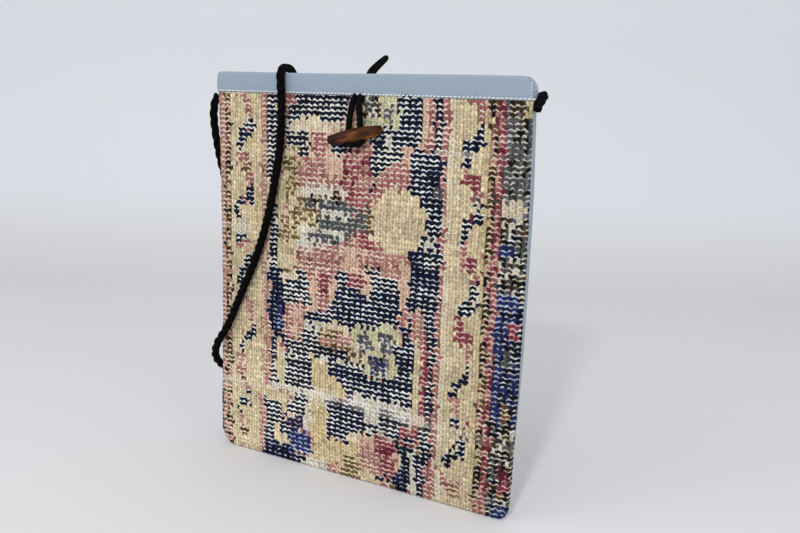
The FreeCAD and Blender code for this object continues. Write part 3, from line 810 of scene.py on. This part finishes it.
def makeBack():
    # the back cloth carries the sides and base, and turns in at the seam beside the rug
    x, z = np.meshgrid(np.arange(-145, 147, 1.5), np.arange(-14, 290, 1.5))
    points, normals, stopped = wrapEdges(x, z, backDepth, seamDepth(x, z) - 0.4, -1, grow=0.3)
    hang = 0.12 * np.sin(x / 3.7 + 2 * np.sin(z / 21)) * (1 - smooth(2, 10, np.maximum(insideBy(x, z), 0)))
    points = points + normals * hang[..., None]
    faces = gridFaces(*x.shape)[:, ::-1]
    faces = faces[~stopped.reshape(-1)[faces].all(axis=1)]
    uv = np.stack([(x + 145) / bakeSide, (z + 14) / bakeSide], axis=-1)
    piece, _ = clothMesh("twillBack", points, faces, paintedLightTwill, uv)
    thicken(piece, clothThickness["twill"])
    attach(piece, "bag")
    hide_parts("back_panel")
    print("back cloth made")


def liningMaterial():
    shader = Shader("plainLining")
    place = shader.place()
    x, z = shader.part(place, 0), shader.part(place, 2)
    weft, warp = (z * 1600).wave() * 0.5 + 0.5, (x * 1600).wave() * 0.5 + 0.5
    cloud = shader.noise(place, 30, 3)
    light, dark = linear((214, 210, 198)), linear((176, 172, 160))
    colour = shader.mix(weft * 0.3 + warp * 0.3 + cloud * 0.4, dark, light)
    return shader.finish(Base_Color=colour, Roughness=0.88, Normal=shader.bump(weft + warp, 0.1 * mm, 0.5))


plainLining = liningMaterial()
liningTop = 287


def makeLining(name, node, depth, bow, halfWidth, foot):
    # one loose inner cloth, hanging from the band to the bottom seam
    x, z = np.meshgrid(np.linspace(-halfWidth, halfWidth, 60), np.linspace(foot, liningTop, 70))
    full = (1 - (x / halfWidth) ** 4) * smooth(foot, foot + 60, z)
    ripple = 0.2 * np.sin(x / 11 + z / 37) + 0.15 * np.sin(x / 5.3 - z / 61)
    y = depth + bow * full * np.sin(math.pi * z / 300) + ripple * (1 - smooth(265, 286, z))
    y = np.minimum(y, backDepth(x, z) - 2.2) if bow < 0 else y
    points = np.stack([x, y, z], axis=-1).reshape(-1, 3) * mm
    piece = addMesh(name, points, gridFaces(*x.shape).tolist(), plainLining)
    thicken(piece, clothThickness["lining"])
    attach(piece, "bag")
    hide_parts(node)


# the band over the mouth
band = {
    "halfWidth": 127.2, "outer": 0.85, "backOuter": 0.55, "cornerTurn": 2.4, "sideSeam": 0.4, "swell": 0.35,
    "cloth": 1.0, "fold": 2.0, "foot": 285.0, "top": 300.0, "rightCorner": 8.0, "leftCorner": 2.5,
}
# where the inner leaves stand, and half the gap between them at the middle beyond that at the ends
mouth = {"halfWidth": 121.6, "closesAt": 123, "middle": 1.45, "endGap": 0.5, "gap": 2.35}


def bandPath(front):
    # places round one half of the mouth from side seam to side seam, and the band's top height at each
    seam, turn, half = band["sideSeam"], band["cornerTurn"], band["halfWidth"]
    face = (bag["front"] - band["outer"]) if front else (bag["back"] + band["backOuter"])
    sign = -1 if front else 1
    start = [(-half, seam + (face - sign * turn - seam) * t) for t in np.linspace(0, 1, 5)[:-1]]
    corner = [(-half + turn - turn * math.cos(a), face - sign * (turn - turn * math.sin(a)))
              for a in np.linspace(0, math.pi / 2, 6)]
    left = start + corner
    middle = [(x, face) for x in np.linspace(-half + turn, half - turn, 170)[1:-1]]
    right = [(-x, y) for x, y in reversed(left)]
    path = np.array(left + middle + right)
    x = path[:, 0]
    path[:, 1] += -sign * 0.35 * np.sin(x / 26 + (0.5 if front else 2.2)) * (np.abs(x) < 118)
    if not front:
        path[:, 1] = seam + (path[:, 1] - seam) * (1 - thinSide(x) / (face - seam))
    top = np.full(len(path), band["top"])
    for rounded, sideways in ((band["rightCorner"], 1), (band["leftCorner"], -1)):
        near = np.clip((sideways * x - (half - rounded)) / rounded, 0, 1)
        top = top - rounded * (1 - np.sqrt(1 - near ** 2)) * 0.86
    top = top + 0.4 * smooth(40, 110, x) + 0.25 * np.sin(x / 30)
    return path, top


def makeBand(name, node, front):
    # one half of the band, a strip of cloth folded over the mouth's raw edge
    path, top = bandPath(front)
    sign = -1 if front else 1
    mouthX = np.clip(path[:, 0], -mouth["halfWidth"], mouth["halfWidth"])
    opened = 1 - np.abs(mouthX / mouth["closesAt"]) ** 5
    mouthY = mouth["middle"] + sign * (mouth["endGap"] + mouth["gap"] * opened)
    way = np.stack([mouthX, mouthY], axis=1) - path
    width = np.linalg.norm(way, axis=1)
    way = way / width[:, None]
    foot, cloth, fold = band["foot"], band["cloth"], band["fold"]
    turns, rise, fall = top - fold, top - fold - foot - 0.25, foot + 1.0 - top + fold
    zero = np.zeros(len(path))
    rows = []

    def station(share, z, depth=0.0):
        # share is how far across from the outer leaf to the inner one
        flat = path + way * (share * width + depth)[:, None]
        rows.append(np.column_stack([flat, z + zero]))

    # up the outside, over the fold and down the inner leaf, then back along the cloth's other face
    for t in np.linspace(0, 1, 9):
        station(0, foot + 0.25 + rise * t, -band["swell"] * np.sin(math.pi * min(t * 1.15, 1)))
    for a in np.linspace(0, math.pi, 13)[1:-1]:
        station((1 - math.cos(a)) / 2, turns + fold * math.sin(a))
    for t in np.linspace(0, 1, 7):
        station(1, turns + fall * t)
    station(1, foot + 0.4, -cloth * 0.5)
    for t in np.linspace(1, 0, 7):
        station(1, turns + fall * t, -cloth)
    for a in np.linspace(math.pi, 0, 9)[1:-1]:
        station((1 - math.cos(a)) / 2, turns + (fold - cloth) * math.sin(a), cloth * math.cos(a))
    for t in np.linspace(1, 0, 9):
        station(0, foot + 0.25 + rise * t, cloth)
    station(0, foot - 0.15, cloth * 0.5)
    rings = np.array(rows)
    columns = len(path)
    faces = [tuple(f) for f in gridFaces(len(rows), columns, closeRows=True)]
    faces.append(tuple(i * columns for i in range(len(rows)))[::-1])
    faces.append(tuple(i * columns + columns - 1 for i in range(len(rows))))
    if front:
        faces = [tuple(reversed(f)) for f in faces]
    piece = addMesh(name, rings.reshape(-1, 3) * mm, faces, blueTwill)
    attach(piece, "bag")
    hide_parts(node)


def threadMaterial(name, colour, dark=0.55, shine=0.5):
    shader = Shader(name)
    place = shader.place()
    ply = shader.part(shader.attribute("yarn"), 0).wave() * 0.5 + 0.5
    fleck = shader.noise(place, 2400, 2)
    base = linear(colour)
    # painted shade: the thread is darker along the grooves of its twist, broken up by flecks
    colour = shader.mix((ply * 0.6 + fleck * 0.5).step(0.1, 0.9), [c * dark for c in base], base)
    normal = shader.bump(ply, 0.08 * mm, 0.6)
    return shader.finish(Base_Color=colour, Roughness=0.7, Normal=normal, Specular_IOR_Level=shine)


stitch = {
    "pitch": 3.0, "length": 2.1, "radius": 0.5, "rise": 0.95, "slant": 0.30, "margin": 2.0, "around": 7,
    "colour": (240, 243, 246),
    # the short row that closes the band's right end, from one height to another at one place
    "endRow": (287.6, 297.5), "endPlace": (126.3, -6.2), "endPitch": 2.0, "endLength": 1.25,
    "endRadius": 0.34,
}


def makeBandStitches(name, node, front, material):
    # one short sunken loop of thread per stitch, just above the band's lower fold
    path, _ = bandPath(front)
    run = np.concatenate([[0], np.cumsum(np.linalg.norm(np.diff(path, axis=0), axis=1))])
    dice = np.random.default_rng(11 if front else 12)
    parts, plies = [], []
    for at in np.arange(stitch["margin"], run[-1] - stitch["margin"], stitch["pitch"]):
        t = np.linspace(-0.5, 0.5, 7)
        here = at + t * stitch["length"] * (1 + 0.08 * dice.normal())
        x, y = np.interp(here, run, path[:, 0]), np.interp(here, run, path[:, 1])
        dx, dy = np.gradient(x), np.gradient(y)
        size = np.hypot(dx, dy)
        outX, outY = dy / size, -dx / size
        if not front:
            outX, outY = -outX, -outY
        proud = 0.30 + 0.16 * np.cos(math.pi * t) - 0.55 * (np.abs(t) > 0.45)
        z = band["foot"] + stitch["rise"] + 0.08 * dice.normal() + t * stitch["slant"] * 2
        line = np.column_stack([x + outX * proud, y + outY * proud, z]) * mm
        radius = stitch["radius"] * mm * (0.55 + 0.45 * np.cos(math.pi * t))
        parts.append(rod(line, radius, stitch["around"]))
        plies.append(rodPly(t * 3.5, stitch["around"]))
    if front:
        endX, endY = stitch["endPlace"]
        for z in np.arange(*stitch["endRow"], stitch["endPitch"]):
            t = np.linspace(-0.5, 0.5, 5)
            out = 0.35 + 0.12 * np.cos(math.pi * t)
            line = np.column_stack([endX + out, endY - out + t * 0.5, z + t * stitch["endLength"]]) * mm
            radius = stitch["endRadius"] * mm * (0.6 + 0.4 * np.cos(math.pi * t))
            parts.append(rod(line, radius, stitch["around"]))
            plies.append(rodPly(t * 2, stitch["around"]))
    piece = addMesh(name, *joinRods(parts), material)
    windPly(piece, np.concatenate(plies))
    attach(piece, "bag")
    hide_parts(node)


# toggle, laces and the strap's sewn ends
toggle = {
    "length": 42.5, "middle": 4.8, "end": 3.25, "tilt": 12.5, "centre": (1.8, -13.15, 258.1), "around": 56,
}


def woodMaterial():
    shader = Shader("turnedWood")
    grain = shader.attribute("grain")
    along, rise, depth = (shader.part(grain, i) for i in range(3))

    def streaks(lengthways, fineness, *settings):
        inputs = {0: lengthways, 1: rise * fineness, 2: depth * fineness}
        return shader.noise(shader.node("ShaderNodeCombineXYZ", {}, inputs), *settings)

    fine = streaks(along * 60, 520, 2.0, 4, 0.65)
    figure = streaks(along * 26 + 3.1, 110, 1.4, 3)
    stops = [(0.0, linear((22, 10, 5))), (0.40, linear((58, 30, 12))), (0.62, linear((110, 62, 24))),
             (1.0, linear((176, 112, 50)))]
    # the grain's figure and fine streaks, with painted light that grows towards the peg's right end
    lit = figure * 0.75 + fine * 0.4 + along * 4
    tone = shader.node("ShaderNodeValToRGB", {"stops": stops}, {0: lit.step(0.28, 0.92)})
    pores = fine.step(0.30, 0.44)
    # the wood darkens towards both ends, and most on the sawn faces
    leftEnd = (along * -1.0).step(0.008, 0.019)
    rightEnd = along.step(0.013, 0.020)
    worn = shader.mix(rightEnd * 0.7, tone, linear((62, 26, 15)))
    worn = shader.mix(leftEnd * 0.8, worn, linear((30, 15, 7)))
    cut = along.math("ABSOLUTE").step(0.0206, 0.0211)
    worn = shader.mix(cut * 0.85, worn, linear((16, 9, 5)))
    colour = shader.mix(1.0, worn, shader.mix(pores, (0.42, 0.36, 0.32), (1, 1, 1)), "MULTIPLY")
    normal = shader.bump(fine + pores * 0.4, 0.10 * mm, 0.5)
    return shader.finish(Base_Color=colour, Roughness=fine * 0.25 + 0.26, Normal=normal,
                         Coat_Weight=0.20, Coat_Roughness=0.15, Specular_IOR_Level=0.04)


def makeToggle():
    # a turned peg, thickest in the middle, with sawn ends that dish in a little
    half, end, around = toggle["length"] / 2, toggle["end"], toggle["around"]
    sawn = [(-half + 0.5, 0.0), (-half + 0.45, end * 0.45), (-half + 0.15, end * 0.72), (-half, end - 0.55),
            (-half + 0.12, end - 0.18), (-half + 0.5, end)]
    body = [(t * (half - 0.5), end + (toggle["middle"] - end) * (1 - abs(t) ** 1.9))
            for t in np.linspace(-1, 1, 61)[1:-1]]
    profile = np.array(sawn + body + [(-x, r) for x, r in reversed(sawn)])
    turn = np.linspace(0, 2 * math.pi, around, endpoint=False)
    x = np.repeat(profile[:, :1], around, axis=1)
    wave = 1 + 0.018 * np.sin(2 * turn + 0.6 + x / 14) + 0.010 * np.sin(5 * turn + x / 6)
    wave = wave + 0.012 * np.sin(x / 4.5 + turn)
    radius = profile[:, 1:] * wave
    local = np.stack([x, radius * np.cos(turn), radius * np.sin(turn)], axis=-1).reshape(-1, 3)
    tilt = math.radians(toggle["tilt"])
    placed = np.stack([local[:, 0] * math.cos(tilt) - local[:, 2] * math.sin(tilt), local[:, 1],
                       local[:, 0] * math.sin(tilt) + local[:, 2] * math.cos(tilt)], axis=1)
    placed = placed + np.array(toggle["centre"])
    faces = gridFaces(len(profile), around, closeColumns=True).tolist()
    faces.append(tuple(range(around))[::-1])
    faces.append(tuple(range((len(profile) - 1) * around, len(profile) * around)))
    piece = addMesh("togglePeg", placed * mm, faces, woodMaterial())
    pointVectors(piece, "grain", local * mm)
    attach(piece, "toggle")
    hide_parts("toggle")


lace = {"radius": 2.2, "loopRadius": 1.7, "colour": (7, 6, 7), "braid": 1.6, "around": 18, "step": 0.45}


def laceRod(name, material, route, radius, pinch=0.0):
    # a braided lace: a rod with a raised diamond braid on its surface, pinched where its ends are sewn in
    line, run = smoothLine(route, lace["step"] * mm)
    around, braid = lace["around"], lace["braid"] * mm
    fromEnd = np.minimum(run, run[-1] - run)
    points, faces = rod(line, radius * mm * (1 - pinch * (1 - smooth(0, 6 * mm, fromEnd))), around)
    turn = np.arange(around) / around
    a = np.add.outer(run / braid, turn * 4)
    b = np.add.outer(run / braid, -turn * 4)
    weave = 0.5 + 0.5 * np.sin(2 * math.pi * a) * np.sin(2 * math.pi * b)
    ring = points[:-2].reshape(len(line), around, 3)
    ring = line[:, None] + (ring - line[:, None]) * (0.93 + 0.10 * weave)[..., None]
    points = np.concatenate([ring.reshape(-1, 3), points[-2:]])
    piece = addMesh(name, points, faces, material)
    windPly(piece, np.concatenate([(a + b).reshape(-1), [0, 0]]))
    return piece


def makeToggleLace(material):
    # down from under the band, through the toggle and back up
    route = [(-2.4, -7.2, 285.9), (-2.4, -8.0, 284.5), (-2.4, -9.7, 281.4), (-2.6, -11.5, 274),
             (-3.0, -12.9, 267.5), (-3.2, -13.15, 260), (-4.6, -13.15, 256), (-5.4, -13.2, 252.6),
             (-2.4, -13.4, 251.4), (4.8, -13.4, 251.8), (8.8, -13.2, 254.2), (8.2, -13.15, 257.5),
             (6.8, -13.15, 261), (5.8, -12.9, 268), (4.0, -11.5, 275),
             (2.6, -9.7, 281.4), (2.6, -8.0, 284.5), (2.6, -7.2, 285.9)]
    piece = laceRod("toggleLace", material, route, lace["radius"], pinch=0.45)
    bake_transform(piece)
    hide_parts("toggle_lace")


def makeClosureLoop(material):
    # a loop whose ends start at its hinge behind the band
    route = [(-1.9, 9.3, 284.9), (-1.9, 10.1, 283.7), (-2.2, 10.9, 286.4), (-3.6, 10.8, 295),
             (-3.4, 12.2, 301.5), (-1.4, 17.2, 306.3), (1.2, 23.0, 310.8), (2.2, 25.8, 312.8),
             (3.4, 25.6, 312.5), (3.6, 22.8, 310.4), (1.6, 17.0, 305.6), (-0.1, 12.4, 300.8),
             (0.2, 10.8, 295), (1.9, 10.9, 286.4), (1.9, 10.1, 283.7), (1.9, 9.3, 284.9)]
    piece = laceRod("closureLoop", material, route, lace["loopRadius"])
    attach(piece, "closure_loop")
    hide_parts("closure_loop")


whipping = {"length": 7.5 * mm, "turns": 6, "radius": 1.75, "swell": 0.35, "thread": 0.75 * mm, "around": 9}


def makeWhipping(name, node, material, route):
    # turns of thread round the strap's end, where it is sewn into the side seam
    line, run = smoothLine(route, 0.35 * mm)
    length, count, around = (whipping[k] for k in ("length", "turns", "around"))
    line, run = line[run < length], run[run < length]
    _, side, other = alongFrames(line)
    dense = np.linspace(0, run[-1], count * 18)
    turns = dense / length * count * 2 * math.pi
    centre, side, other = (np.stack([np.interp(dense, run, v[:, i]) for i in range(3)], axis=1)
                           for v in (line, side, other))
    radius = (whipping["radius"] + whipping["swell"] * np.sin(turns * 0.37)) * mm
    coil = centre + radius[:, None] * (np.cos(turns)[:, None] * side + np.sin(turns)[:, None] * other)
    piece = addMesh(name, *rod(coil, whipping["thread"], around), material)
    windPly(piece, rodPly(dense / (0.9 * mm), around))
    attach(piece, "bag")
    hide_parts(node)


def dress(node, material):
    # gives a carried-over solid its finish
    for slot in bpy.data.objects[node].material_slots:
        slot.material = material


makeRug()
makeBack()
makeLining("liningFront", "front_lining", -2.3, 0.7, 117.5, 9.0)
makeLining("liningBack", "back_lining", 4.6, -0.5, 121.0, 6.0)
makeBand("bandFront", "front_band", True)
makeBand("bandBack", "back_band", False)
paleThread = threadMaterial("paleThread", stitch["colour"])
makeBandStitches("bandStitchesFront", "front_band_stitching", True, paleThread)
makeBandStitches("bandStitchesBack", "back_band_stitching", False, paleThread)
for hidden in ("left_seam_stitching", "right_seam_stitching", "bottom_seam_stitching"):
    dress(hidden, paleThread)
print("cloths, band and stitches made")
blackLace = cordMaterial("blackLace", lace["colour"], 0.2 * mm)
makeToggleLace(blackLace)
makeClosureLoop(blackLace)
makeToggle()
dress("toggle_lace_end", blackLace)
dress("closure_loop_end", blackLace)
blackThread = threadMaterial("blackThread", (6, 5, 6), 0.4, 0.1)
makeWhipping("leftWhipping", "left_strap_tack", blackThread, strapRoute)
makeWhipping("rightWhipping", "right_strap_tack", blackThread, strapRoute[::-1])
print("toggle, laces and whippings made")


# stage and light
stage = {"floor": (213, 212, 213), "wall": (221, 223, 226), "wallAt": 1.05, "bend": 0.4, "world": 0.56}


def makeStage():
    # a pale sheet that runs along the floor and turns up behind, square to the camera
    shader = Shader("paper")
    place = shader.place()
    up = shader.part(place, 2).step(0.0, 0.12)
    colour = shader.mix(up, linear(stage["floor"]), linear(stage["wall"]))
    material = shader.finish(Base_Color=colour, Roughness=0.9)
    bend = stage["bend"]
    profile = [(-3.0, 0.0)]
    for i in range(13):
        a = math.radians(90 * i / 12)
        profile.append((stage["wallAt"] - bend + bend * math.sin(a), bend - bend * math.cos(a)))
    profile.append((stage["wallAt"], 3.0))
    turn = math.radians(view["azimuth"])
    points = [(x * math.cos(turn) - y * math.sin(turn), x * math.sin(turn) + y * math.cos(turn), z)
              for y, z in profile for x in (-4.0, 4.0)]
    sheet = addMesh("paper", points, gridFaces(len(profile), 2), material)


def areaLight(name, place, target, size, power):
    data = bpy.data.lights.new(name, "AREA")
    data.shape = "RECTANGLE"
    data.size, data.size_y = size
    data.energy = power
    lamp = addObject(name, data)
    lamp.location = place
    lamp.rotation_euler = (Vector(target) - Vector(place)).to_track_quat("-Z", "Y").to_euler()


makeStage()
areaLight("keyLight", (0.36, -1.26, 1.02), (0, 0, 0.12), (0.12, 0.12), 9.6)
areaLight("leftLight", (-1.1, -1.2, 1.1), (0, 0, 0.12), (1.3, 1.3), 7.0)
areaLight("fillLight", (1.9, -0.3, 0.9), (0, 0, 0.15), (1.4, 1.2), 7.8)
areaLight("topLight", (0.5, -0.15, 2.0), (0.1, 0.1, 0), (2.2, 1.6), 8.5)
world = bpy.data.worlds.new("room")
world.use_nodes = True
world.node_tree.nodes["Background"].inputs[0].default_value = (0.93, 0.96, 1.0, 1)
world.node_tree.nodes["Background"].inputs[1].default_value = stage["world"]
bpy.context.scene.world = world
bpy.context.scene.view_settings.view_transform = "Standard"
print("stage and lights set")
